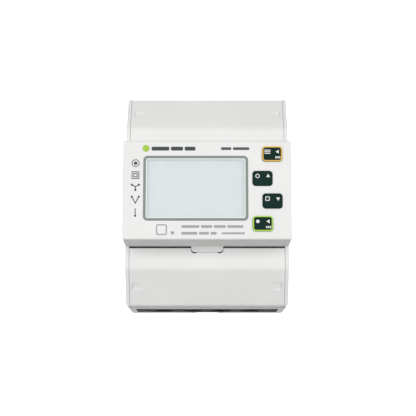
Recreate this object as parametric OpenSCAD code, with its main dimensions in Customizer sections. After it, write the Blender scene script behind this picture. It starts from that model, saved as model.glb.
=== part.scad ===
// Smart electricity meter for a 35 mm mounting rail, four modules wide.
// Frame: +X to the right, +Z up, the front faces -Y. The origin is the centre of the seat
// on the rail: y = 0 is the plane of the rail's front face, z = 0 is the rail's centre line.

/* [Case] */
// Width of the case, four rail modules
case_w = 72; // [71.6:0.1:72.4]
// Height of the case over its side walls
case_h = 95; // [94.8:0.1:95.2]
// Distance of the front panel in front of the rail
panel_d = 59; // [58:0.5:60]
// Distance of the covers' flat part in front of the rail
shoulder_d = 39; // [38.8:0.1:39.4]
// How far the feet reach behind the rail's front face
foot_d = 6; // [5.8:0.1:7]
// Height of the front panel
nose_h = 43; // [42.6:0.1:43]
// Moulding draft of the nose's upper and lower faces, over their depth
nose_draft = 0.2; // [0.1:0.1:0.6]
// Thickness of the side walls
side_t = 1.6; // [1.4:0.1:1.7]
// Thickness of the other walls
wall_t = 1.8; // [1.6:0.1:1.9]
// Parting plane of the two case halves, in front of the rail
split_d = 23.6; // [23.3:0.1:23.9]
// Radius at the covers' outer edges and the walls beside them
edge_r = 1.2; // [0.8:0.1:1.4]
// Radius of the long edges between the side walls and the end faces
corner_r = 1.4; // [1:0.1:1.5]

/* [Terminal covers] */
// Height at which a cover bends from flat to sloping
bend_z = 31.6; // [31:0.1:32]
// Distance of a cover's outer edge in front of the rail
cover_edge_d = 29.3; // [29:0.1:29.6]
// Height of a cover's outer edge above or below the centre line
cover_end_z = 47.3; // [47.2:0.1:47.3]
// Radius of the edge at a cover's outer end
cover_edge_r = 2.2; // [1.6:0.1:2.4]
// Thickness of a cover
cover_t = 1.6; // [1.4:0.1:1.8]
// Gap between a cover and the nose
cover_gap = 0.7; // [0.6:0.1:0.9]
// Gap between a cover and each side wall
cover_side_gap = 0.15; // [0.15:0.05:0.3]
// Diameter of a cover's hinge pins
hinge_pin_d = 2; // [1.8:0.1:2.2]
// Distance of the hinge axis in front of the rail
hinge_d = 27.2; // [27:0.1:27.4]
// Height of the hinge axis above or below the centre line
hinge_z = 45.3; // [45.2:0.1:45.4]
// Width of the tongue that holds a cover's inner edge
tongue_w = 14; // [12:0.5:16]
// How far a tongue reaches over its bay
tongue_l = 2.5; // [2.2:0.1:2.9]
// Radius of a tongue's corners
tongue_r = 1.5; // [1:0.1:2]

/* [Terminals] */
// Number of main terminals in a row
terminals = 4; // [4:1:4]
// Pitch of the main terminals
terminal_pitch = 13.2; // [13:0.1:13.3]
// Diameter of a cable entry
entry_d = 9.1; // [8.6:0.1:9.2]
// Distance of the cable entries' axis in front of the rail
entry_axis_d = 5.3; // [5.2:0.1:5.4]
// Height of the terminal screws' axis above or below the centre line
screw_z = 38; // [37.8:0.1:38.2]
// Thread diameter of a terminal screw
screw_d = 5; // [4.8:0.1:5]
// Head diameter of a terminal screw
screw_head_d = 6.4; // [6.2:0.1:6.5]
// Width of a clamp cage over its side walls
cage_w = 11; // [10.8:0.1:11]
// Length of a clamp cage along the cable
cage_l = 8; // [7.5:0.1:8]
// Width of a busbar
busbar_w = 6; // [5.6:0.1:6.1]
// Thickness of a busbar
busbar_t = 1.5; // [1.4:0.1:1.5]

/* [Display and keys] */
// Left edge of the display window
window_x0 = -27.2; // [-27.4:0.1:-27]
// Right edge of the display window
window_x1 = 17.5; // [17.3:0.1:17.6]
// Lower edge of the display window
window_z0 = -13.3; // [-13.5:0.1:-13.1]
// Upper edge of the display window
window_z1 = 14.7; // [14.5:0.1:14.9]
// Corner radius of the display window
window_r = 1.8; // [1:0.1:2.2]
// Width of a key
key_w = 8.2; // [8:0.1:8.4]
// Height of a key
key_h = 6.2; // [6:0.1:6.5]
// Corner radius of a key
key_r = 1.2; // [0.8:0.1:1.4]
// How far a key stands out of the panel
key_proud = 0.8; // [0.6:0.1:1]
// Travel of a key
key_travel = 0.6; // [0.4:0.1:0.6]

/* [Rail clip] */
// Width of the sliding rail clip
clip_w = 16; // [14:0.5:18]
// Thickness of the sliding rail clip
clip_t = 2.6; // [2.5:0.1:2.6]
// Height of the channel that takes the rail
channel_h = 35.5; // [35.4:0.1:35.8]
// How far the hooks reach behind the rail's flanges
hook_l = 1.6; // [1.2:0.1:1.8]
// Thickness of the rail's flange with its running clearance
flange_t = 1.15; // [1.1:0.05:1.3]

/* [Hidden] */
$fn = 48;
// Overlap that makes joined shapes one solid, and cuts clean through
lap = 0.05;
// Small gap between fixed neighbours
snug = 0.1;
// Radial clearance of a shaft in its hole
running = 0.05;
// Gap between a tongue and the cover around it
tongue_gap = 0.15;

half_w = case_w / 2;
half_h = case_h / 2;
inner_x = half_w - side_t;
inner_end_z = half_h - wall_t;
nose_z = nose_h / 2;
nose_root_z = nose_z + nose_draft;
panel_t = 2;
panel_back_d = panel_d - panel_t;
// Slope of the covers, from the case's height axis
tilt = atan2(shoulder_d - cover_edge_d, cover_end_z - bend_z);

// Case screws: place, and how far forward each part of them lies
case_screw_x = 31;
case_screw_z = 14.5;
case_screw_d = 2.9;
column_back_d = 8;
column_front_d = 46;
column_r = 3.2;

// Terminals: stations along the depth of one clamp, in front of the rail
entry_z = half_h - 0.1;
block_front_d = 27.6;
ledge_front_d = 24.5;
ledge_back_d = 21.5;
block_back_d = -1.2;
block_root_z = 30.4;
block_step_z = 41.9;
window_front_d = 17.4;
window_back_d = -1.3;
window_half_w = 32.4;
screw_head_front_d = 26.8;
screw_head_back_d = 24;
cage_chamber_front_d = 22.7;
cage_front_d = 13.4;
cage_front_t = 1.8;
cage_back_d = -0.4;
cage_wall_t = 1;
busbar_back_d = 9.9;
busbar_end_z = screw_z + 3.5;
terminal_x = [for (i = [0:terminals - 1]) (i - (terminals - 1) / 2) * terminal_pitch];

// Signal terminals, in front of the upper terminal block's ledge
signal_pitch = 5.08;
signal_z = 26.6;
signal_front_d = 34.8;
signal_screw_d = 2.5;
signal_head_d = 3.8;
signal_x = [for (i = [0:3]) (i - 1.5) * signal_pitch];

// Display stack and key stack, from the panel's back towards the boards
key_places = [[27.9, 15.5], [23.7, 4.9], [27.9, -4.9], [23.7, -14.7]];
key_play = 0.2;
key_flange_w = 10;
key_flange_h = 8;
key_stem_r = 1.5;
plunger_r = 1.75;
plunger_front_d = 55.3;
switch_front_d = 53.8;
switch_w = 6;
lcd_x0 = window_x0 + 0.6;
lcd_x1 = window_x1 - 0.6;
lcd_z0 = window_z0 + 0.6;
lcd_z1 = window_z1 - 0.6;
lcd_front_d = panel_back_d - 0.1;
lcd_back_d = 54.3;
display_board_d = 50.3;
main_board_d = 25.6;
board_t = 1.6;
board_w = 2 * (inner_x - 0.3);
header_x = 3;
header_z = -12;
header_cols = 8;
pin_pitch = 2.54;

// Rail clip: the tunnel it slides in, behind the rail's front face
channel_z = channel_h / 2;
tunnel_y0 = 1.9;
tunnel_y1 = 4.8;
clip_y = (tunnel_y0 + tunnel_y1) / 2;
clip_end_z = half_h - 0.1;
clip_tip_z = channel_z - hook_l;
seat_relief = 0.3;
clip_window_z0 = 29;
clip_window_z1 = 41;
spring_stop_z = 39.3;
spring_r = 1;
spring_wire_r = 0.22;
spring_turns = 7;

// Points of the arc of radius r that rounds the corner b between a and c
function unit(v) = v / norm(v);
function arc_step(v0, v1, turn, s) =
    (sin((1 - s) * turn) * v0 + sin(s * turn) * v1) / sin(turn);
function rounded_corner(a, b, c, r, n = 5) =
    let (
        to_a = unit(a - b),
        to_c = unit(c - b),
        half = acos(to_a * to_c) / 2,
        centre = b + unit(to_a + to_c) * r / sin(half),
        v0 = b + to_a * r / tan(half) - centre,
        v1 = b + to_c * r / tan(half) - centre
    ) [for (i = [0:n]) centre + arc_step(v0, v1, 180 - 2 * half, i / n)];
// An outline of [y, z, radius] corners, with each corner that has a radius rounded
function rounded_outline(p) =
    let (n = len(p), xy = [for (q = p) [q[0], q[1]]])
    [for (i = [0:n - 1])
        each p[i][2] == 0 ? [xy[i]]
            : rounded_corner(xy[(i + n - 1) % n], xy[i], xy[(i + 1) % n], p[i][2])];

// A [y, z] outline made solid from x0 to x1
module across(x0, x1) {
    translate([x0, 0, 0]) rotate([90, 0, 90]) linear_extrude(x1 - x0) children();
}
// An [x, z] outline made solid between two distances in front of the rail
module forward(d0, d1) {
    translate([0, -d0, 0]) rotate([90, 0, 0]) linear_extrude(d1 - d0) children();
}
// A cylinder along the depth, between two distances in front of the rail
module peg(x, z, r, d0, d1) {
    translate([x, -d0, z]) rotate([90, 0, 0]) cylinder(r = r, h = d1 - d0);
}
// A block given by its lowest and highest x, distance in front of the rail, and z
module block(x, d, z) {
    translate([x[0], -d[1], z[0]]) cube([x[1] - x[0], d[1] - d[0], z[1] - z[0]]);
}
// A rounded rectangle in the plane of the panel
module pad(x, z, r) {
    translate([x[0] + r, z[0] + r]) square([x[1] - x[0] - 2 * r, z[1] - z[0] - 2 * r]);
    for (px = [x[0] + r, x[1] - r], pz = [z[0] + r, z[1] - r]) translate([px, pz]) circle(r);
    translate([x[0], z[0] + r]) square([x[1] - x[0], z[1] - z[0] - 2 * r]);
    translate([x[0] + r, z[0]]) square([x[1] - x[0] - 2 * r, z[1] - z[0]]);
}
// The case's outline seen from the front
module case_section() {
    forward(-foot_d - 1, panel_d + 1) pad([-half_w, half_w], [-half_h, half_h], corner_r);
}
module both_ends() {
    children();
    mirror([0, 0, 1]) children();
}
module both_sides() {
    children();
    mirror([1, 0, 0]) children();
}

// ---- Case ----
// Outline of the case seen from its side: nose, shoulders, and slopes down to the split
function side_half() = [
    [-split_d, half_h, 0],
    [-cover_edge_d, half_h, edge_r],
    [-shoulder_d, bend_z, 5],
    [-shoulder_d, nose_root_z, 0.4],
    [-panel_d, nose_z, 0.8],
];
function flipped(p) = [for (i = [len(p) - 1:-1:0]) [p[i][0], -p[i][1], p[i][2]]];
module side_outline() {
    polygon(rounded_outline(concat(side_half(), flipped(side_half()))));
}
// The nose's outline, or with a wall thickness taken off, its hollow
module nose_outline(t, front_t, back_d) {
    polygon([
        [-back_d, nose_root_z - t], [-shoulder_d, nose_root_z - t],
        [-panel_d + front_t, nose_z - t], [-panel_d + front_t, t - nose_z],
        [-shoulder_d, t - nose_root_z], [-back_d, t - nose_root_z],
    ]);
}
module key_openings() {
    for (p = key_places)
        forward(panel_back_d - 1, panel_d + 1)
            pad([p[0] - key_w / 2 - key_play, p[0] + key_w / 2 + key_play],
                [p[1] - key_h / 2 - key_play, p[1] + key_h / 2 + key_play], key_r + key_play);
}
module screw_column() {
    peg(case_screw_x, case_screw_z, column_r, column_back_d + lap, column_front_d);
    block([case_screw_x, inner_x + lap], [split_d + 1, column_front_d],
        [case_screw_z - 1, case_screw_z + 1]);
}
module front_housing() {
    color("gainsboro") difference() {
        union() {
            intersection() {
                both_sides() across(inner_x, half_w) side_outline();
                case_section();
            }
            across(-inner_x - lap, inner_x + lap) difference() {
                intersection() {
                    nose_outline(0, 0, split_d);
                    side_outline();
                }
                nose_outline(wall_t, panel_t, split_d - 1);
            }
            both_ends() both_sides() screw_column();
            both_ends() forward(shoulder_d - wall_t, shoulder_d)
                pad([-tongue_w / 2, tongue_w / 2],
                    [nose_root_z - wall_t, nose_root_z + tongue_l], tongue_r);
        }
        forward(panel_back_d - 1, panel_d + 1)
            pad([window_x0 - snug, window_x1 + snug], [window_z0 - snug, window_z1 + snug],
                window_r + snug);
        key_openings();
        both_ends() both_sides() {
            peg(case_screw_x, case_screw_z, case_screw_d / 2 + running, 0, 32);
            translate([inner_x - 1, -hinge_d, hinge_z]) rotate([0, 90, 0])
                cylinder(r = hinge_pin_d / 2 + running, h = side_t + 0.7);
        }
    }
}

module rail_hook() {
    across(12, 30) polygon([
        [flange_t, channel_z + lap], [flange_t, clip_tip_z], [flange_t + 0.9, clip_tip_z],
        [flange_t + 2.6, channel_z - 0.3], [flange_t + 2.6, channel_z + lap],
    ]);
}
module screw_boss() {
    difference() {
        peg(case_screw_x, case_screw_z, 4, wall_t - lap, column_back_d);
        block([inner_x + lap, inner_x + 4], [0, split_d], [0, half_h]);
    }
}
module rear_housing() {
    color("gainsboro") difference() {
        union() {
            difference() {
                intersection() {
                    block([-half_w, half_w], [-foot_d, split_d], [-half_h, half_h]);
                    case_section();
                }
                block([-inner_x, inner_x], [wall_t, split_d + 1], [-inner_end_z, inner_end_z]);
                both_ends() {
                    block([-inner_x, inner_x], [window_back_d, wall_t + 1],
                        [channel_z + 1.75, inner_end_z]);
                    both_sides() block([clip_w / 2 + 2.5, inner_x], [-foot_d + wall_t, 0],
                        [channel_z + 1.75, inner_end_z]);
                    block([-window_half_w, window_half_w], [window_back_d, window_front_d],
                        [inner_end_z - 1, half_h + 1]);
                }
                block([-half_w - 1, half_w + 1], [-foot_d - 1, 0], [-channel_z, channel_z]);
                both_ends() block([-half_w - 1, half_w + 1], [-1, seat_relief],
                    [channel_z - hook_l - seat_relief, channel_z]);
            }
            both_sides() rail_hook();
            both_ends() both_sides() screw_boss();
        }
        both_ends() both_sides() {
            peg(case_screw_x, case_screw_z, 1.7, -1, column_back_d + 1);
            peg(case_screw_x, case_screw_z, 2.9, -1, 2.4);
        }
        clip_tunnel();
    }
    color("gainsboro") block([-1.4, 1.4], [-4.2, -tunnel_y0 + lap],
        [-spring_stop_z - 1.5, -spring_stop_z]);
}
// The space the rail clip slides in, open to the channel and at the lower end
module clip_tunnel() {
    reach = clip_w / 2 + 0.15;
    block([-reach, reach], [-tunnel_y1, -tunnel_y0], [-half_h - 1, -channel_z + 1]);
    block([-reach, reach], [-tunnel_y0 - 1, -0.95], [-channel_z - 4.4, -channel_z + 1]);
    block([-5, 5], [-foot_d - 1, -tunnel_y0 - 1], [-half_h - 1, -43]);
}

module housing_screw() {
    difference() {
        union() {
            peg(case_screw_x, case_screw_z, 2.6, 0.4, 2.3);
            peg(case_screw_x, case_screw_z, case_screw_d / 2, 2.2, 30);
        }
        for (a = [0, 90]) translate([case_screw_x, -0.4, case_screw_z]) rotate([0, a, 0])
            cube([2.6, 2, 0.6], center = true);
    }
}
module housing_screws() {
    color("silver") both_ends() both_sides() housing_screw();
}

// ---- Terminal covers ----
module cover_outline() {
    t = cover_t;
    inner_bend_z = bend_z - t * tan(tilt / 2);
    inner_edge_d = cover_edge_d - t * tan((90 - tilt) / 2);
    start_z = nose_root_z + cover_gap;
    back_d = hinge_d - 1.2;
    polygon(rounded_outline([
        [-shoulder_d, start_z, 0.4], [-shoulder_d + t, start_z, 0],
        [-shoulder_d + t, inner_bend_z, 3], [-inner_edge_d, cover_end_z - t, 0],
        [-back_d, cover_end_z - t, 0], [-back_d, cover_end_z, 0],
        [-cover_edge_d, cover_end_z, cover_edge_r], [-shoulder_d, bend_z, 5],
    ]));
}
// Ramped recess in the slope beside each side wall, for a fingernail or a screwdriver
module pry_notch() {
    notch_z = 39.1;
    notch_y = -shoulder_d + (notch_z - bend_z) * tan(tilt);
    translate([0, notch_y, notch_z]) rotate([-tilt, 0, 0]) translate([0, 0, -1.9])
        linear_extrude(3.8) polygon([[27, -0.5], [27, 0], [33, 1.1], [33, -0.5]]);
}
module terminal_cover() {
    cover_x = inner_x - cover_side_gap;
    difference() {
        union() {
            across(-cover_x, cover_x) cover_outline();
            both_sides() {
                translate([cover_x - 3, -hinge_d, hinge_z]) rotate([0, 90, 0])
                    cylinder(r = 1.8, h = 3);
                translate([cover_x - 1, -hinge_d, hinge_z]) rotate([0, 90, 0])
                    cylinder(r = hinge_pin_d / 2, h = cover_side_gap + 2);
                block([18, 22], [34, shoulder_d - cover_t + lap], [24.6, 25.8]);
            }
        }
        forward(shoulder_d - wall_t - 1, shoulder_d + 1)
            pad([-tongue_w / 2 - tongue_gap, tongue_w / 2 + tongue_gap],
                [nose_z, nose_root_z + tongue_l + tongue_gap], tongue_r + tongue_gap);
        both_sides() pry_notch();
    }
}
module top_terminal_cover() {
    color("whitesmoke") terminal_cover();
}
module bottom_terminal_cover() {
    color("whitesmoke") mirror([0, 0, 1]) terminal_cover();
}

// ---- Terminals ----
module terminal_block() {
    difference() {
        union() {
            block([-inner_x + 0.3, inner_x - 0.3], [block_back_d, block_front_d],
                [block_root_z, block_step_z]);
            block([-inner_x + 0.3, inner_x - 0.3], [block_back_d, split_d],
                [block_step_z - lap, inner_end_z - snug]);
            block([-window_half_w + snug, window_half_w - snug],
                [window_back_d + snug, window_front_d - snug], [inner_end_z - 1, entry_z]);
            block([-inner_x + 0.3, inner_x - 0.3], [ledge_back_d, ledge_front_d],
                [nose_root_z + 0.3, block_root_z + lap]);
        }
        for (x = terminal_x) {
            block([x - cage_w / 2 - 0.25, x + cage_w / 2 + 0.25], [cage_back_d - 0.3, cage_chamber_front_d],
                [screw_z - cage_l / 2 - 0.25, screw_z + cage_l / 2 + 0.25]);
            translate([x, -entry_axis_d, screw_z]) cylinder(d = entry_d, h = 20);
            peg(x, screw_z, screw_d / 2 + running, cage_chamber_front_d - 1, block_front_d + 1);
            peg(x, screw_z, screw_head_d / 2 + running, screw_head_back_d - running,
                block_front_d + 1);
            block([x - busbar_w / 2 - snug, x + busbar_w / 2 + snug],
                [busbar_back_d - snug, busbar_back_d + busbar_t + snug],
                [block_root_z - 1, screw_z]);
        }
    }
}
module top_terminal_block() {
    color("dimgray") terminal_block();
}
module bottom_terminal_block() {
    color("dimgray") mirror([0, 0, 1]) terminal_block();
}

module terminal_screw(x) {
    difference() {
        union() {
            peg(x, screw_z, screw_head_d / 2, screw_head_back_d, screw_head_front_d);
            peg(x, screw_z, screw_d / 2, busbar_back_d + busbar_t + snug,
                screw_head_back_d + lap);
        }
        for (a = [0, 90]) translate([x, -screw_head_front_d, screw_z]) rotate([0, a, 0])
            cube([4.6, 2.8, 0.9], center = true);
    }
}
// A rising cage clamp: the screw's thread pulls it forward, against the busbar
module clamp_cage(x) {
    wall = cage_wall_t;
    half = cage_w / 2;
    z = [screw_z - cage_l / 2, screw_z + cage_l / 2];
    difference() {
        block([x - half, x + half], [cage_back_d, cage_front_d], z);
        block([x - half + wall, x + half - wall],
            [cage_back_d + cage_wall_t, cage_front_d - cage_front_t], z + [-1, 1]);
        peg(x, screw_z, screw_d / 2 + running, busbar_back_d, cage_front_d + 1);
    }
}
module bottom_screw(n) {
    color("silver") mirror([0, 0, 1]) terminal_screw(terminal_x[n - 1]);
}
module top_screw(n) {
    color("silver") terminal_screw(terminal_x[n - 1]);
}
module bottom_cage(n) {
    color("lightsteelblue") mirror([0, 0, 1]) clamp_cage(terminal_x[n - 1]);
}
module top_cage(n) {
    color("lightsteelblue") clamp_cage(terminal_x[n - 1]);
}
module busbar(n) {
    x = terminal_x[n - 1];
    color("peru") block([x - busbar_w / 2, x + busbar_w / 2],
        [busbar_back_d, busbar_back_d + busbar_t], [-busbar_end_z, busbar_end_z]);
}
// A ring core around its busbar, in a moulded shell
module current_transformer(n) {
    axis_d = busbar_back_d + busbar_t / 2;
    color("royalblue") translate([terminal_x[n - 1], -axis_d, -6]) rotate_extrude()
        translate([3.7, 0]) square([2.6, 12]);
}

// ---- Signal terminals ----
module signal_terminal_block() {
    half = 2 * signal_pitch + 0.4;
    color("dimgray") difference() {
        block([-half, half], [ledge_front_d + snug, signal_front_d],
            [nose_root_z + 1.1, block_root_z - 0.2]);
        for (x = signal_x) {
            block([x - 1.5, x + 1.5], [28.6, 31.6], [signal_z - 2, block_root_z + 1]);
            peg(x, signal_z, signal_head_d / 2 + running, 32.7, signal_front_d + 1);
            peg(x, signal_z, signal_screw_d / 2 + running, 27, signal_front_d);
        }
    }
}
module signal_screw(n) {
    x = signal_x[n - 1];
    color("silver") difference() {
        union() {
            peg(x, signal_z, signal_head_d / 2, 32.75, 34.4);
            peg(x, signal_z, signal_screw_d / 2, 27.2, 32.8);
        }
        translate([x, -34.4, signal_z]) cube([2.8, 1.6, 0.6], center = true);
    }
}

// ---- Display and keys ----
module display_window() {
    color("lightslategray") forward(panel_back_d, panel_d - 0.1)
        pad([window_x0, window_x1], [window_z0, window_z1], window_r);
}
module lcd_panel() {
    color("aliceblue") block([lcd_x0, lcd_x1], [lcd_back_d, lcd_front_d], [lcd_z0, lcd_z1]);
}
module lcd_backlight() {
    color("white") block([lcd_x0, lcd_x1], [display_board_d, lcd_back_d - snug],
        [lcd_z0, lcd_z1]);
}
module lcd_holder() {
    color("white") difference() {
        block([window_x0 - 1.2, window_x1 + 0.7], [display_board_d, lcd_front_d],
            [window_z0 - 1.3, window_z1 + 1.2]);
        block([lcd_x0 - snug, lcd_x1 + snug], [display_board_d - 1, panel_d],
            [lcd_z0 - snug, lcd_z1 + snug]);
    }
}
module key(n) {
    p = key_places[n - 1];
    flange_d = panel_back_d - 0.2;
    color("darkslategray") union() {
        forward(flange_d - lap, panel_d + key_proud)
            pad([p[0] - key_w / 2, p[0] + key_w / 2], [p[1] - key_h / 2, p[1] + key_h / 2], key_r);
        block([p[0] - key_flange_w / 2, p[0] + key_flange_w / 2], [flange_d - 0.8, flange_d],
            [p[1] - key_flange_h / 2, p[1] + key_flange_h / 2]);
        peg(p[0], p[1], key_stem_r, plunger_front_d, flange_d - 0.7);
    }
}
module key_plunger(n) {
    p = key_places[n - 1];
    color("black") peg(p[0], p[1], plunger_r, switch_front_d - 1.2, plunger_front_d);
}
module key_switches() {
    half = switch_w / 2;
    color("dimgray") for (p = key_places) difference() {
        block([p[0] - half, p[0] + half], [display_board_d, switch_front_d],
            [p[1] - half, p[1] + half]);
        peg(p[0], p[1], plunger_r + running, switch_front_d - 1.2 - key_travel - 0.2,
            switch_front_d + 1);
    }
}

// ---- Boards ----
module display_board() {
    color("darkgreen") block([-board_w / 2, board_w / 2], [display_board_d - board_t,
        display_board_d], [-19.5, 19.5]);
}
module pin_places() {
    for (i = [0:header_cols - 1], j = [0, 1])
        translate([header_x + (i - (header_cols - 1) / 2) * pin_pitch, 0,
            header_z + (j - 0.5) * pin_pitch]) children();
}
module board_socket() {
    half_l = header_cols * pin_pitch / 2;
    color("black") difference() {
        block([header_x - half_l, header_x + half_l], [40.2, display_board_d - board_t],
            [header_z - pin_pitch, header_z + pin_pitch]);
        pin_places() block([-0.42, 0.42], [39, 46], [-0.42, 0.42]);
    }
}
module board_header() {
    half_l = header_cols * pin_pitch / 2;
    color("goldenrod") {
        block([header_x - half_l, header_x + half_l], [main_board_d, main_board_d + 2.5],
            [header_z - pin_pitch, header_z + pin_pitch]);
        pin_places() block([-0.32, 0.32], [main_board_d + 2.4, 45], [-0.32, 0.32]);
    }
}
module main_board() {
    color("darkgreen") difference() {
        block([-board_w / 2, board_w / 2], [main_board_d - board_t, main_board_d],
            [-nose_root_z + 2.1, nose_root_z - 2.1]);
        both_ends() both_sides() {
            peg(case_screw_x, case_screw_z, column_r + 0.4, 20, 30);
            block([case_screw_x, half_w], [20, 30], [case_screw_z - 1.4, case_screw_z + 1.4]);
        }
    }
}
module supply_transformer() {
    color("gold") union() {
        block([-26, -8], [main_board_d, main_board_d + 13], [-3, 14]);
        block([-24, -10], [main_board_d + 2, main_board_d + 15], [0, 11]);
    }
}
module supply_capacitors() {
    color("midnightblue") for (x = [-21, -12])
        peg(x, -12, 4, main_board_d, main_board_d + 13);
}
module surge_varistors() {
    color("steelblue") for (x = [4, 12, 20]) translate([x, -main_board_d - 5.5, 8])
        rotate([0, 90, 0]) union() {
            translate([0, 0, -1.8]) cylinder(r = 4.5, h = 3.6);
            translate([-3, -0.4, -0.4]) cube([0.8, 5.9, 0.8]);
            translate([2.2, -0.4, -0.4]) cube([0.8, 5.9, 0.8]);
        }
}

// ---- Rail clip ----
// Its nose reaches forward, to catch behind the flange of the rail
module rail_clip() {
    y0 = clip_y - clip_t / 2;
    y1 = clip_y + clip_t / 2;
    color("darkgray") difference() {
        across(-clip_w / 2, clip_w / 2) polygon([
            [y0, -clip_end_z], [y1, -clip_end_z], [y1, -clip_tip_z - 2.6],
            [flange_t + 0.8, -clip_tip_z], [flange_t, -clip_tip_z],
            [flange_t, -clip_tip_z - 1.8], [y0, -clip_tip_z - 2.7],
        ]);
        block([-1.7, 1.7], [-y1 - 1, -y0 + 1], [-clip_window_z1, -clip_window_z0]);
        block([-3, 3], [-y1 - 1, -y0 + 1], [-clip_end_z + 1, -clip_end_z + 2.4]);
    }
}
// One ring of the spring's wire, square to the coil at the given angle
function wire_ring(a, pitch) = [for (k = [0:5])
    let (r = spring_r + spring_wire_r * cos(k * 60))
    [r * cos(a), r * sin(a), pitch * a / 360 + spring_wire_r * sin(k * 60)]];
module rail_clip_spring() {
    step = 30;
    steps = spring_turns * 360 / step;
    length = spring_stop_z - clip_window_z0 - 2 * spring_wire_r - 0.1;
    pitch = length / spring_turns;
    points = [for (i = [0:steps]) each wire_ring(i * step, pitch)];
    sides = [for (i = [0:steps - 1], k = [0:5])
        let (m = (k + 1) % 6) [i * 6 + k, (i + 1) * 6 + k, (i + 1) * 6 + m, i * 6 + m]];
    color("silver") translate([0, clip_y, -spring_stop_z + spring_wire_r + 0.05])
        polyhedron(points, concat(sides, [[for (k = [0:5]) k],
            [for (k = [5:-1:0]) steps * 6 + k]]));
}

// ---- The assembly ----
rear_housing();
front_housing();
housing_screws();
bottom_terminal_cover();
top_terminal_cover();
bottom_terminal_block();
top_terminal_block();
for (n = [1:terminals]) {
    bottom_screw(n);
    top_screw(n);
    bottom_cage(n);
    top_cage(n);
    busbar(n);
    signal_screw(n);
    key(n);
    key_plunger(n);
}
for (n = [1:3])
    current_transformer(n);
signal_terminal_block();
display_window();
lcd_panel();
lcd_backlight();
lcd_holder();
key_switches();
display_board();
board_socket();
board_header();
main_board();
supply_transformer();
supply_capacitors();
surge_varistors();
rail_clip();
rail_clip_spring();
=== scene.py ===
from math import atan2, hypot, pi, radians

import bmesh
import bpy
from mathutils import Matrix, Vector


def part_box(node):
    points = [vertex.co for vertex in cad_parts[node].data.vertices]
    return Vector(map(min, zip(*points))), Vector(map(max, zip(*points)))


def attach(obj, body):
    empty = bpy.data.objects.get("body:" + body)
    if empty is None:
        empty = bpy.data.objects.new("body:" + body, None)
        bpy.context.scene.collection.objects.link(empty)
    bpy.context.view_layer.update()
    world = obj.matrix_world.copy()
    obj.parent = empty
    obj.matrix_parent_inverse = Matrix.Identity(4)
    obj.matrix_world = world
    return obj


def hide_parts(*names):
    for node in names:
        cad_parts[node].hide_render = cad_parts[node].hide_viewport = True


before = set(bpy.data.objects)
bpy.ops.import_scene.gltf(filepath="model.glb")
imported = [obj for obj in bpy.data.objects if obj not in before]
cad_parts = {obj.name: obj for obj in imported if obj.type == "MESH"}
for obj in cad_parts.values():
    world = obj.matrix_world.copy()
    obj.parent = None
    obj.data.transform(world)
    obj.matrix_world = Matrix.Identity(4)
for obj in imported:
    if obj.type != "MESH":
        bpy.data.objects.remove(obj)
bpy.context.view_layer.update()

# The meter's sizes and places are in millimetres here, and MM turns them into the frame's metres.
# A finish's grain and depth and the studio are in metres. Colours are linear.
MM = 0.001
# Faces that meet at less than flat_under degrees are one flat face, and an edge that bends by more
# than sharp_over degrees is shaded sharp.
flat_under, sharp_over = 0.6, 32


# ---- Rear housing ----
# The tray that clips onto the rail, moulded in light grey flame-retardant polycarbonate from a
# spark-eroded tool, so its skin has a very fine matt grain. Every edge carries the tool's radius.

class Wire:
    """A shader socket that Python's own signs work on: each one adds its Math node."""

    def __init__(self, finish, socket):
        self.finish, self.socket = finish, socket

    def math(self, operation, *values):
        return self.finish.node("ShaderNodeMath", {"operation": operation}, dict(enumerate(values)))

    def __add__(self, other):
        return self.math("ADD", self, other)

    def __mul__(self, other):
        return self.math("MULTIPLY", self, other)

    __radd__ = __add__

    def over(self, edge):
        return self.math("GREATER_THAN", self, edge)


class Finish:
    """A procedural material. Constants are set on its surface, and node() adds any shader node."""

    def __init__(self, name, **constants):
        self.material = bpy.data.materials.new(name)
        self.material.use_nodes = True
        self.tree = self.material.node_tree
        self.surface = self.tree.nodes["Principled BSDF"]
        for socket, value in constants.items():
            self.surface.inputs[socket.replace("_", " ")].default_value = value
        self.place = self.node("ShaderNodeTexCoord", out="Object")

    def node(self, kind, settings=None, inputs=None, out=0):
        made = self.tree.nodes.new(kind)
        for key, value in (settings or {}).items():
            setattr(made, key, value)
        for key, value in (inputs or {}).items():
            if isinstance(value, Wire):
                self.tree.links.new(value.socket, made.inputs[key])
            else:
                made.inputs[key].default_value = value
        return Wire(self, made.outputs[out])

    def noise(self, grain, detail=2, stretch=(1, 1, 1)):
        """Noise whose lumps are about grain metres across."""
        place = self.node("ShaderNodeMapping", None, {"Vector": self.place, "Scale": stretch})
        return self.node("ShaderNodeTexNoise", None,
                         {"Vector": place, "Scale": 1 / grain, "Detail": detail})

    def lattice(self, line, pitch, offset, cell_w, cell_h):
        """A grid of lines facing the front: 1 on a line, 0 between lines. Pitch is in metres."""
        place = self.node("ShaderNodeMapping", None,
                          {"Vector": self.place, "Rotation": (pi / 2, 0, 0)})
        return self.node("ShaderNodeTexBrick", {"offset": offset}, {
            "Vector": place, "Scale": 1 / pitch, "Mortar Size": line, "Brick Width": cell_w,
            "Row Height": cell_h}, "Fac")

    def mix(self, factor, first, second):
        """A colour between two others: each is three linear levels, or a wire."""
        first, second = (colour if isinstance(colour, Wire) else (*colour, 1)
                         for colour in (first, second))
        return self.node("ShaderNodeMix", {"data_type": "RGBA"},
                         {0: factor, 6: first, 7: second}, 2)

    def band(self, value, low, high):
        """value, spread so that low gives 0 and high gives 1."""
        return self.node("ShaderNodeMapRange", None,
                         {"Value": value, "From Min": low, "From Max": high})

    def feed(self, socket, value):
        self.tree.links.new(value.socket, self.surface.inputs[socket])

    def relief(self, height, depth, strength):
        bump = self.node("ShaderNodeBump", None,
                         {"Height": height, "Distance": depth, "Strength": strength})
        self.feed("Normal", bump)


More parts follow.
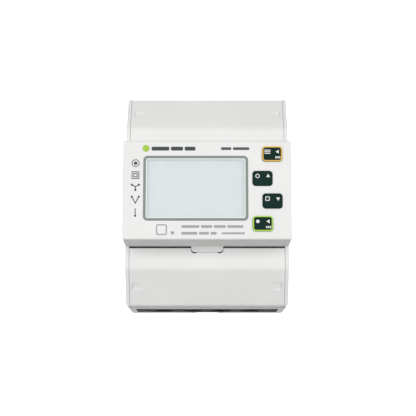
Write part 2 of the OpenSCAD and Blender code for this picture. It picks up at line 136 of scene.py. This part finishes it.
def moulded_plastic(name, light, dark, rough, grain=0.25 * MM, depth=0.006 * MM, **constants):
    """Matt moulded plastic: a fine spark-eroded skin over slow flow marks from the mould."""
    finish = Finish(name, **constants)
    flow = finish.noise(22 * MM)
    skin = finish.noise(grain, 3)
    finish.feed("Base Color", finish.mix(finish.band(flow + skin * 0.25, 0.42, 0.85), dark, light))
    finish.feed("Roughness", rough - 0.05 + flow * 0.06 + skin * 0.08)
    finish.relief(skin, depth, 0.6)
    return finish.material


def cast_of(node):
    """A copy of a CAD solid as a clean bmesh: corners merged, and flat faces joined up."""
    shape = bmesh.new()
    shape.from_mesh(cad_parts[node].data)
    bmesh.ops.remove_doubles(shape, verts=shape.verts, dist=1e-6)
    bmesh.ops.dissolve_limit(shape, angle_limit=radians(flat_under), verts=shape.verts,
                             edges=shape.edges)
    return shape


def roll_edges(shape, radius, where, steps=2, least=25):
    """Rounds the edges that bend by more than least degrees and that where() picks.

    where() gets the edge's middle and its length, and steps is how many facets make the round.
    """
    chosen = [edge for edge in shape.edges
              if len(edge.link_faces) == 2 and edge.calc_face_angle(0) > radians(least)
              and where((edge.verts[0].co + edge.verts[1].co) / 2 / MM, edge.calc_length() / MM)]
    bmesh.ops.bevel(shape, geom=chosen, offset=radius * MM, offset_type="OFFSET", segments=steps,
                    profile=0.5, affect="EDGES", material=-1, clamp_overlap=False)


def piece(shape, name, body, slot, finish, *stands_for):
    """Makes a finished bmesh an object that rides on a body and stands for its CAD nodes."""
    mesh = bpy.data.meshes.new(name)
    shape.to_mesh(mesh)
    shape.free()
    mesh.shade_smooth()
    mesh.set_sharp_from_angle(angle=radians(sharp_over))
    mesh.materials.append(finish)
    made = bpy.data.objects.new(name, mesh)
    bpy.context.scene.collection.objects.link(made)
    level = made.modifiers.new("flat faces stay flat", "WEIGHTED_NORMAL")
    level.keep_sharp = True
    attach(made, body)
    if stands_for:
        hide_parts(*stands_for)


def millimetres(node):
    """The lowest and highest corners of a CAD node."""
    return [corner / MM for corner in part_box(node)]


case_light, case_dark = (0.83, 0.83, 0.82), (0.80, 0.80, 0.79)
case_finish = moulded_plastic("case polycarbonate", case_light, case_dark, 0.5)

# Both halves of the case meet at split_y. An edge that lies on a face is within on_face of it, and
# an edge shorter than facet is only one step of a round, so it stays as it is.
(_, split_y, _), (half_width, back_y, _) = millimetres("rear_housing")
on_face, facet = 0.02, 1.2
rear = cast_of("rear_housing")


def on_case_side(at):
    return abs(abs(at.x) - half_width) < on_face


def on_rear_outside(at, length):
    return length > facet and (on_case_side(at) or at.y > back_y - 0.1)


def on_rear_rim(at, length):
    return length > facet and abs(at.y - split_y) < on_face and not on_case_side(at)


roll_edges(rear, 0.25, on_rear_outside)
roll_edges(rear, 0.08, on_rear_rim)
piece(rear, "rear_case", "root", "housing_plastic", case_finish, "rear_housing")


# ---- Front housing ----
# The nose and the side walls beside the covers, one moulding in the same plastic. The panel's
# outer edges are softly rolled; the window and key openings have only a broken edge.
panel_y = millimetres("front_housing")[0].y
openings_x, openings_z = 34, 20
front = cast_of("front_housing")


def on_front_side(at, length):
    return on_case_side(at) and at.y < split_y - 0.2


def on_seam(at, length):
    return on_case_side(at) and abs(at.y - split_y) < on_face


def on_opening(at, length):
    return abs(at.y - panel_y) < on_face and abs(at.x) < openings_x and abs(at.z) < openings_z


roll_edges(front, 0.45, on_front_side, 3, 20)
roll_edges(front, 0.12, on_opening)
roll_edges(front, 0.2, on_seam)
piece(front, "front_case", "root", "housing_plastic", case_finish, "front_housing")


# ---- Terminal covers ----
# Two sprung shells of the same plastic, hinged on pins at their outer ends. Their bend is a wide
# soft round, and a ramped notch near each side takes a fingernail or a screwdriver.
cover_finish = moulded_plastic("cover polycarbonate", case_light, case_dark, 0.47)
cover_facet, hinge_front_y, cutout_x = 1.5, -27.5, 5


def on_cover_outside(at, length):
    return length > cover_facet and at.y < hinge_front_y and abs(at.x) > cutout_x


for end in ("top", "bottom"):
    cover = cast_of(end + "_terminal_cover")
    roll_edges(cover, 0.08, on_cover_outside)
    piece(cover, end + "_cover", end + "_cover", "cover_plastic", cover_finish,
          end + "_terminal_cover")


# ---- Display ----
# A clear acrylic plate is snapped into the panel's opening. A grey-green border is printed on it,
# with a hairline of pale mint inside, and the pale liquid crystal cell and its light guide lie
# behind. The cell's glow is painted light: an emission that brightens it evenly and fills in the
# shade that the deep opening casts around its edges.

def front_plane(x, y, z, angle=0, width=1.0, height=1.0):
    """Places a flat shape on a plane that faces the front: its middle, its turn and its size."""
    return (Matrix.Translation((x * MM, y * MM, z * MM)) @ Matrix.Rotation(angle, 4, "Y")
            @ Matrix.Rotation(pi / 2, 4, "X") @ Matrix.Diagonal((width * MM, height * MM, 1, 1)))


def flat_pad(shape, left, right, low, high, radius, y):
    """A flat face with rounded corners, between those four sides."""
    known = set(shape.faces)
    corners = bmesh.ops.create_grid(
        shape, x_segments=1, y_segments=1, size=0.5,
        matrix=front_plane((left + right) / 2, y, (low + high) / 2, 0, right - left, high - low))
    bmesh.ops.bevel(shape, geom=corners["verts"], offset=radius * MM, offset_type="OFFSET",
                    segments=6, profile=0.5, affect="VERTICES", material=-1)
    return [face for face in shape.faces if face not in known]


def keep_rim(shape, faces, width):
    """Cuts the middle out of a flat face, and leaves a rim of that width."""
    bmesh.ops.inset_region(shape, faces=faces, thickness=width * MM, use_even_offset=True,
                           use_boundary=True)
    bmesh.ops.delete(shape, geom=faces, context="FACES_ONLY")


def lift(shape, height):
    """Raises flat shapes towards the front, so that each is a thin closed solid."""
    made = bmesh.ops.extrude_face_region(shape, geom=list(shape.faces))["geom"]
    raised = [part for part in made if isinstance(part, bmesh.types.BMVert)]
    bmesh.ops.translate(shape, verts=raised, vec=(0, -height * MM, 0))
    bmesh.ops.recalc_face_normals(shape, faces=shape.faces)


def ink(name, colour, rough=0.42):
    """Printed ink: nearly even, with the small pinholes and gloss changes of pad printing."""
    finish = Finish(name)
    speck = finish.noise(0.12 * MM, 3)
    worn = tuple(level * 0.86 + 0.01 for level in colour)
    finish.feed("Base Color", finish.mix(finish.band(speck, 0.35, 0.6), worn, colour))
    finish.feed("Roughness", rough - 0.06 + speck * 0.12)
    finish.relief(speck, 0.003 * MM, 0.4)
    return finish.material


def carry(node, body, slot, finish, radius=0, least_edge=1.0):
    """Stands a smooth-shaded copy, its longer edges rolled by radius, in for a CAD node."""
    shape = cast_of(node)
    if radius:
        roll_edges(shape, radius, lambda at, length: length > least_edge)
    piece(shape, node + "_finished", body, slot, finish, node)


window_low, window_high = millimetres("display_window")
border_w, hairline_w, print_h, window_round = 1.05, 0.45, 0.04, 1.8


def window_frame(name, inside, width, colour):
    """A printed frame of that width, on the plate, that far in from its edges."""
    shape = bmesh.new()
    keep_rim(shape, flat_pad(shape, window_low.x + inside, window_high.x - inside,
                             window_low.z + inside, window_high.z - inside,
                             window_round - inside, window_low.y), width)
    lift(shape, print_h)
    piece(shape, "display_" + name, "root", "window_clear", ink(name + " ink", colour))


window_frame("border", 0, border_w, (0.228, 0.258, 0.242))
window_frame("hairline", border_w, hairline_w, (0.80, 0.89, 0.85))

acrylic = Finish("clear acrylic", Roughness=0.06, IOR=1.49)
wave = acrylic.noise(6 * MM)
acrylic.feed("Base Color", acrylic.mix(wave, (0.86, 0.91, 0.92), (0.90, 0.94, 0.95)))
acrylic.feed("Alpha", wave * 0.05 + 0.1)
acrylic.feed("Roughness", acrylic.noise(0.5 * MM, 3) * 0.06 + 0.04)
acrylic.relief(wave, 0.01 * MM, 0.2)
carry("display_window", "root", "window_clear", acrylic.material)

# The cell's emission is a painted glow, not a lamp: it brightens the cell evenly and fills in the
# shade that the window's recess casts around its edges. Its base colour is kept low so that this
# real shade changes it little.
cell = Finish("liquid crystal cell", Coat_Roughness=0.12, Coat_IOR=1.5, Emission_Strength=0.5)
haze = cell.noise(9 * MM, 3)
gaps = cell.lattice(0.02, 2 * MM, 0.0, 1.0, 1.0)
cell.feed("Base Color", cell.mix(haze, (0.31, 0.33, 0.34), (0.34, 0.36, 0.37)))
cell.feed("Emission Color", cell.mix(
    gaps * 0.1, cell.mix(haze, (0.735, 0.775, 0.80), (0.755, 0.79, 0.815)), (0.64, 0.68, 0.70)))
cell.feed("Roughness", haze * 0.12 + 0.3)
cell.feed("Coat Weight", haze * 0.1 + 0.25)
cell.relief(haze, 0.01 * MM, 0.15)
carry("lcd_panel", "root", "lcd_glass", cell.material, 0.15)

carry("lcd_backlight", "root", "backlight_white",
      moulded_plastic("light guide", (0.90, 0.90, 0.90), (0.86, 0.87, 0.88), 0.22,
                      0.6 * MM, 0.01 * MM), 0.2)
carry("lcd_holder", "root", "holder_white",
      moulded_plastic("natural nylon", (0.84, 0.84, 0.81), (0.80, 0.80, 0.77), 0.5))


# ---- Keys ----
# Four near-black moulded caps, staggered beside the display. The first has an amber collar and
# the last a green one, and each carries small white pad-printed signs on its face.

def disc(shape, x, y, z, radius, corners=24, angle=0):
    """A flat regular face with that many corners: a disc, or a triangle with 3."""
    known = set(shape.faces)
    bmesh.ops.create_circle(shape, cap_ends=True, segments=corners, radius=radius * MM,
                            matrix=front_plane(x, y, z, angle, 1 / MM, 1 / MM))
    return [face for face in shape.faces if face not in known]


def stroke(shape, x0, z0, x1, z1, width, y):
    """A straight printed line from one point to another."""
    bmesh.ops.create_grid(shape, x_segments=1, y_segments=1, size=0.5,
                          matrix=front_plane((x0 + x1) / 2, y, (z0 + z1) / 2,
                                             -atan2(z1 - z0, x1 - x0),
                                             hypot(x1 - x0, z1 - z0), width))


# The printed face is sunk a little inside the cap's rolled edge. A collar laps the cap's edge,
# from collar_out outside it to collar_in inside it.
cap_w, cap_h, cap_round, cap_edge, cap_sunk = 8.2, 6.2, 1.2, 0.28, 0.03
collar_out, collar_in, collar_h, collar_sunk = 0.16, 0.34, 0.4, 0.01
sign_x, sign_z, sign_r, sign_line = 2.15, 0.9, 0.95, 0.34
arrow_x = sign_x + 0.2
menu_left, menu_right, menu_line_w, menu_pitch = -1.2, 1.4, 0.36, 0.72
square_round, dot_r = 0.25, 0.75
block_x, block_pitch, block_w = 1.35, 0.8, 0.55
block_low, block_high, block_round = -2.0, -1.1, 0.15

key_finish = moulded_plastic("key cap", (0.0085, 0.030, 0.024), (0.006, 0.024, 0.019), 0.42,
                             0.2 * MM, 0.004 * MM, Specular_IOR_Level=0.05)
plunger_finish = moulded_plastic("switch plunger", (0.03, 0.03, 0.03), (0.02, 0.02, 0.02), 0.4)
legend_ink = ink("white legend ink", (0.82, 0.84, 0.84))
collars = {1: ink("amber collar", (0.82, 0.48, 0.045), 0.35),
           4: ink("green collar", (0.40, 0.72, 0.04), 0.35)}
LEFT, UP, DOWN = -pi / 2, 0, pi
arrows = {1: LEFT, 2: UP, 3: DOWN, 4: LEFT}

for number, turn in arrows.items():
    node = body = f"key_{number}"
    low, high = millimetres(node)
    x, z = (low.x + high.x) / 2, (low.z + high.z) / 2
    cap = cast_of(node)
    roll_edges(cap, cap_edge, lambda at, length: at.y < low.y + on_face, 3)
    face = [point for point in cap.verts if point.co.y < (low.y + on_face) * MM]
    bmesh.ops.translate(cap, verts=face, vec=(0, cap_sunk * MM, 0))
    piece(cap, node + "_cap", body, "key_rubber", key_finish, node)
    carry(f"key_plunger_{number}", body, "switch_black", plunger_finish)

    face_y = low.y + cap_sunk
    left, middle = x - sign_x, z + sign_z
    signs = bmesh.new()
    disc(signs, x + arrow_x, face_y, middle, sign_r, 3, turn)
    if number == 1:
        for step in (1, 0, -1):
            line_z = middle + step * menu_pitch
            stroke(signs, left + menu_left, line_z, left + menu_right, line_z, menu_line_w, face_y)
    elif number == 2:
        keep_rim(signs, disc(signs, left, face_y, middle, sign_r), sign_line)
    elif number == 3:
        keep_rim(signs, flat_pad(signs, left - sign_r, left + sign_r, middle - sign_r,
                                 middle + sign_r, square_round, face_y), sign_line)
    else:
        disc(signs, left, face_y, middle, dot_r)
    if number in collars:
        for step in range(3):
            block_left = x + block_x + step * block_pitch
            flat_pad(signs, block_left, block_left + block_w, z + block_low, z + block_high,
                     block_round, face_y)
    lift(signs, cap_sunk)
    piece(signs, node + "_signs", body, "key_rubber", legend_ink)

    if number in collars:
        collar = bmesh.new()
        half_w, half_h = cap_w / 2 + collar_out, cap_h / 2 + collar_out
        keep_rim(collar, flat_pad(collar, x - half_w, x + half_w, z - half_h, z + half_h,
                                  cap_round + collar_out, low.y + collar_sunk + collar_h),
                 collar_out + collar_in)
        lift(collar, collar_h)
        piece(collar, node + "_collar", body, "key_rubber", collars[number])


# ---- Panel print ----
# Pad-printed signs on the panel: a column of wiring signs, a green dot with dark bars where the
# maker and the type stand, and grey bars and a plain square where the ratings stand. The ink is
# thin, and there is no lettering.
sign_ink = ink("dark sign ink", (0.06, 0.065, 0.065))
maker_ink = ink("dark maker ink", (0.022, 0.036, 0.036))
rating_ink = ink("grey rating ink", (0.36, 0.365, 0.365))
ink_h, line_w, node_r = 0.03, 0.42, 0.48
ring_r, ring_dot_r, outer_square, inner_square, square_corner = 1.7, 0.8, 1.65, 0.9, 0.15
column_x, ring_z, squares_z, star_z, vee_z, single_z = -30.6, 11.5, 6.3, 1.0, -4.3, -9.8


def print_on_panel(shape, name, finish):
    lift(shape, ink_h)
    piece(shape, name, "root", "housing_plastic", finish)


signs = bmesh.new()
keep_rim(signs, disc(signs, column_x, panel_y, ring_z, ring_r, 40), line_w * 0.8)
disc(signs, column_x, panel_y, ring_z, ring_dot_r)
for half in (outer_square, inner_square):
    keep_rim(signs, flat_pad(signs, column_x - half, column_x + half, squares_z - half,
                             squares_z + half, square_corner, panel_y), line_w * 0.9)
# Each network's lines start at a round node and share their last point.
networks = {star_z: [((-1.5, 1.15), (0, 0.25)), ((1.5, 1.15), (0, 0.25)), ((0, -1.1), (0, 0.25))],
            vee_z: [((-1.5, 1.25), (0, -1.5)), ((1.5, 1.25), (0, -1.5))],
            single_z: [((0, -1.5), (0, 1.5))]}
for network_z, lines in networks.items():
    for (x0, z0), (x1, z1) in lines:
        stroke(signs, column_x + x0, network_z + z0, column_x + x1, network_z + z1, line_w,
               panel_y)
        disc(signs, column_x + x0, panel_y, network_z + z0, node_r, 16)
    disc(signs, column_x + x1, panel_y, network_z + z1, line_w * 0.55, 16)
print_on_panel(signs, "wiring_signs", sign_ink)

maker_x, maker_z, maker_r = -26.2, 18.0, 1.5
maker_dot = bmesh.new()
disc(maker_dot, maker_x, panel_y, maker_z, maker_r, 40)
print_on_panel(maker_dot, "maker_dot", ink("maker green", (0.36, 0.60, 0.04)))


def bars(shape, left, z, lengths, height, gap=0.7):
    """A row of plain bars with round ends, as a stand-in for a line of print."""
    for length in lengths:
        flat_pad(shape, left, left + length, z - height / 2, z + height / 2, height * 0.3, panel_y)
        left += length + gap


heading_z, upper_line_z, lower_line_z, ratings_x = 17.9, -15.9, -18.8, -10.9
maker_bars = bmesh.new()
bars(maker_bars, -23.8, heading_z, [7.6, 5.2, 4.6], 1.7)
print_on_panel(maker_bars, "maker_bars", maker_ink)

type_bars = bmesh.new()
bars(type_bars, 6.0, heading_z, [4.4, 7.0], 1.2)
print_on_panel(type_bars, "type_bars", sign_ink)

mark_left, mark_right, mark_low, mark_high = -21.7, -17.0, -19.6, -14.9
mark_round, mark_line = 1.0, 0.55
stop_x, stop_z, stop_r = -14.7, -18.6, 0.75
ratings = bmesh.new()
bars(ratings, ratings_x, upper_line_z, [7.6, 4.8, 5.0, 6.8], 1.15)
bars(ratings, ratings_x, lower_line_z, [6.8, 4.2, 2.6], 1.15)
bars(ratings, 6.2, lower_line_z, [9.8], 0.8)
keep_rim(ratings, flat_pad(ratings, mark_left, mark_right, mark_low, mark_high, mark_round,
                           panel_y), mark_line)
disc(ratings, stop_x, panel_y, stop_z, stop_r)
print_on_panel(ratings, "rating_bars", rating_ink)


# ---- Terminals ----
# Dark flame-retardant blocks hold the steel cages, which zinc-plated screws draw up onto copper
# busbars. Blue-cased current transformers ride on three of the bars, and signal clamps sit on top.

def metal(name, light, dark, rough, grain=0.15 * MM, stretch=(1, 1, 1)):
    """Bare or plated metal: fine drawn grain, with slow patches in its tone and its polish."""
    finish = Finish(name, Metallic=1)
    patch, fine = finish.noise(3 * MM, 4), finish.noise(grain, 3, stretch)
    finish.feed("Base Color", finish.mix(finish.band(patch + fine * 0.3, 0.4, 0.9), dark, light))
    finish.feed("Roughness", rough - 0.08 + patch * 0.1 + fine * 0.1)
    finish.relief(fine, 0.004 * MM, 0.5)
    return finish.material


block_finish = moulded_plastic("terminal block nylon", (0.030, 0.031, 0.033),
                               (0.018, 0.019, 0.021), 0.62, 0.18 * MM, 0.008 * MM,
                               Specular_IOR_Level=0.12)
zinc = metal("zinc plate", (0.66, 0.67, 0.68), (0.50, 0.51, 0.53), 0.3)
nickel = metal("nickel plate", (0.70, 0.68, 0.63), (0.55, 0.53, 0.49), 0.28)
copper = metal("rolled copper", (0.78, 0.42, 0.26), (0.60, 0.27, 0.15), 0.32,
               stretch=(1, 1, 0.06))
coil_finish = moulded_plastic("transformer shell", (0.03, 0.07, 0.22), (0.02, 0.05, 0.16), 0.4)
TERMINALS, PHASES = range(1, 5), range(1, 4)

for end in ("bottom", "top"):
    carry(end + "_terminal_block", "root", "terminal_block", block_finish, 0.15)
    for number in TERMINALS:
        screw, cage = f"{end}_screw_{number}", f"{end}_cage_{number}"
        carry(screw, screw, "screw_steel", zinc)
        carry(cage, cage, "cage_steel", nickel, 0.15, 3)
for number in TERMINALS:
    carry(f"busbar_{number}", "root", "copper", copper, 0.2)
    screw = f"signal_screw_{number}"
    carry(screw, screw, "screw_steel", zinc)
for number in PHASES:
    carry(f"current_transformer_{number}", "root", "transformer_shell", coil_finish)
carry("signal_terminal_block", "root", "terminal_block", block_finish)


# ---- Boards and supply ----
# Two green boards joined by a pin header carry the switches, the supply and its protection.
# They are glass-fibre laminate under solder resist, and their parts are soldered in.

def solder_resist(name):
    """Green resist: brighter over the copper tracks, and slightly raised along their edges."""
    finish = Finish(name, Coat_Roughness=0.15)
    # A track runs wherever the lattice has a line, and patches of noise break the lines up.
    lines = finish.lattice(0.14, 3 * MM, 0.5, 1.7, 0.8)
    track = lines * finish.noise(5 * MM, 1).over(0.46)
    finish.feed("Base Color", finish.mix(track, (0.008, 0.09, 0.035), (0.03, 0.20, 0.08)))
    finish.feed("Roughness", finish.noise(0.3 * MM) * 0.1 + 0.36)
    finish.feed("Coat Weight", track * 0.2 + 0.35)
    finish.relief(track, 0.03 * MM, 0.6)
    return finish.material


resist = solder_resist("solder resist")
black_part = moulded_plastic("black component", (0.025, 0.025, 0.026), (0.015, 0.015, 0.016), 0.38)
for board in ("main_board", "display_board"):
    carry(board, "root", "board_green", resist)
carry("key_switches", "root", "switch_black", black_part, 0.1)
carry("board_socket", "root", "connector_black", black_part)
carry("board_header", "root", "header_brass",
      metal("gold flash", (0.83, 0.62, 0.26), (0.70, 0.49, 0.18), 0.25))
carry("supply_transformer", "root", "transformer_yellow",
      moulded_plastic("winding tape", (0.72, 0.50, 0.06), (0.60, 0.38, 0.03), 0.3, 0.8 * MM,
                      0.03 * MM), 0.3)
carry("supply_capacitors", "root", "capacitor_sleeve",
      moulded_plastic("shrink sleeve", (0.03, 0.04, 0.12), (0.02, 0.025, 0.08), 0.25))
carry("surge_varistors", "root", "varistor_blue",
      moulded_plastic("epoxy dip", (0.03, 0.14, 0.38), (0.02, 0.10, 0.30), 0.25, 0.8 * MM,
                      0.03 * MM))


# ---- Rail clip and screws ----
# The grey acetal clip slides in the back against a steel coil spring and grips the rail's lip.
# Four zinc-plated screws in the channel's floor hold the two halves of the case together.
carry("rail_clip", "rail_clip", "clip_plastic",
      moulded_plastic("acetal", (0.25, 0.26, 0.27), (0.20, 0.21, 0.22), 0.4), 0.2)
carry("rail_clip_spring", "rail_clip", "spring_steel",
      metal("spring wire", (0.55, 0.55, 0.54), (0.38, 0.38, 0.38), 0.3))
carry("housing_screws", "root", "screw_steel", zinc)


# ---- Studio ----
# A graduated pale sweep runs from floor to backdrop. Two soft lamps stand level in front of the
# meter, one lights the backdrop, and the camera stands half a metre off, looking slightly up.
floor_z, white_z, wall_y, wall_h, turn_r, half_floor = -0.2, -0.08, 0.9, 2.5, 0.35, 3
turn_y = wall_y - turn_r


def parts_of(made, kind):
    return [part for part in made if isinstance(part, kind)]


# The floor is drawn back from its front edge, turned up through a quarter round, and drawn up.
sweep = bmesh.new()
front_edge = sweep.edges.new([sweep.verts.new((side * half_floor, -half_floor, floor_z))
                              for side in (-1, 1)])
floor = bmesh.ops.extrude_edge_only(sweep, edges=[front_edge])["geom"]
bmesh.ops.translate(sweep, verts=parts_of(floor, bmesh.types.BMVert),
                    vec=(0, half_floor + turn_y, 0))
back_edge = [edge for edge in parts_of(floor, bmesh.types.BMEdge)
             if all(abs(end.co.y - turn_y) < 1e-6 for end in edge.verts)]
turned = bmesh.ops.spin(sweep, geom=back_edge + parts_of(floor, bmesh.types.BMVert),
                        cent=(0, turn_y, floor_z + turn_r), axis=(1, 0, 0), angle=pi / 2,
                        steps=16)["geom_last"]
wall = bmesh.ops.extrude_edge_only(sweep, edges=parts_of(turned, bmesh.types.BMEdge))["geom"]
bmesh.ops.translate(sweep, verts=parts_of(wall, bmesh.types.BMVert), vec=(0, 0, wall_h))
bmesh.ops.recalc_face_normals(sweep, faces=sweep.faces)

paper = Finish("studio paper", Roughness=0.9)
height = paper.node("ShaderNodeSeparateXYZ", None, {"Vector": paper.place}, "Z")
fibre = paper.noise(2 * MM, 3) * 0.03
paper.feed("Base Color", paper.mix(paper.band(height, floor_z, white_z) + fibre,
                                   (0.50, 0.50, 0.50), (0.90, 0.90, 0.90)))
mesh = bpy.data.meshes.new("studio_sweep")
sweep.to_mesh(mesh)
sweep.free()
mesh.shade_smooth()
mesh.materials.append(paper.material)
backdrop = bpy.data.objects.new("studio_sweep", mesh)
bpy.context.scene.collection.objects.link(backdrop)

world = bpy.data.worlds.new("bright room")
world.use_nodes = True
room = world.node_tree.nodes["Background"].inputs
room["Color"].default_value = (1, 1, 1, 1)
room["Strength"].default_value = 0.42
bpy.context.scene.world = world


def lamp(name, place, aim, size, power):
    light = bpy.data.lights.new(name, "AREA")
    light.size = size
    light.energy = power
    made = bpy.data.objects.new(name, light)
    made.location = place
    made.rotation_euler = (Vector(aim) - Vector(place)).to_track_quat("-Z", "Y").to_euler()
    bpy.context.scene.collection.objects.link(made)


for side in (-1, 1):
    lamp(f"front_lamp_{side}", (side * 0.4, -1.0, 0.03), (0, 0, 0), 0.5, 3.8)
lamp("backdrop_lamp", (0, 0.25, 0.6), (0, 0.9, 0.25), 0.6, 8)

# The camera's place is given from the front panel's middle.
camera_side, camera_reach, camera_drop, camera_pitch = 0.4, 500, 91.6, 9.5
lens = bpy.data.cameras.new("camera")
lens.sensor_width = 36
lens.lens = 103.07
camera = bpy.data.objects.new("camera", lens)
camera.location = (camera_side * MM, (panel_y - camera_reach) * MM, -camera_drop * MM)
camera.rotation_euler = (radians(90 + camera_pitch), 0, 0)
bpy.context.scene.collection.objects.link(camera)
bpy.context.scene.camera = camera
bpy.context.scene.view_settings.view_transform = "Standard"
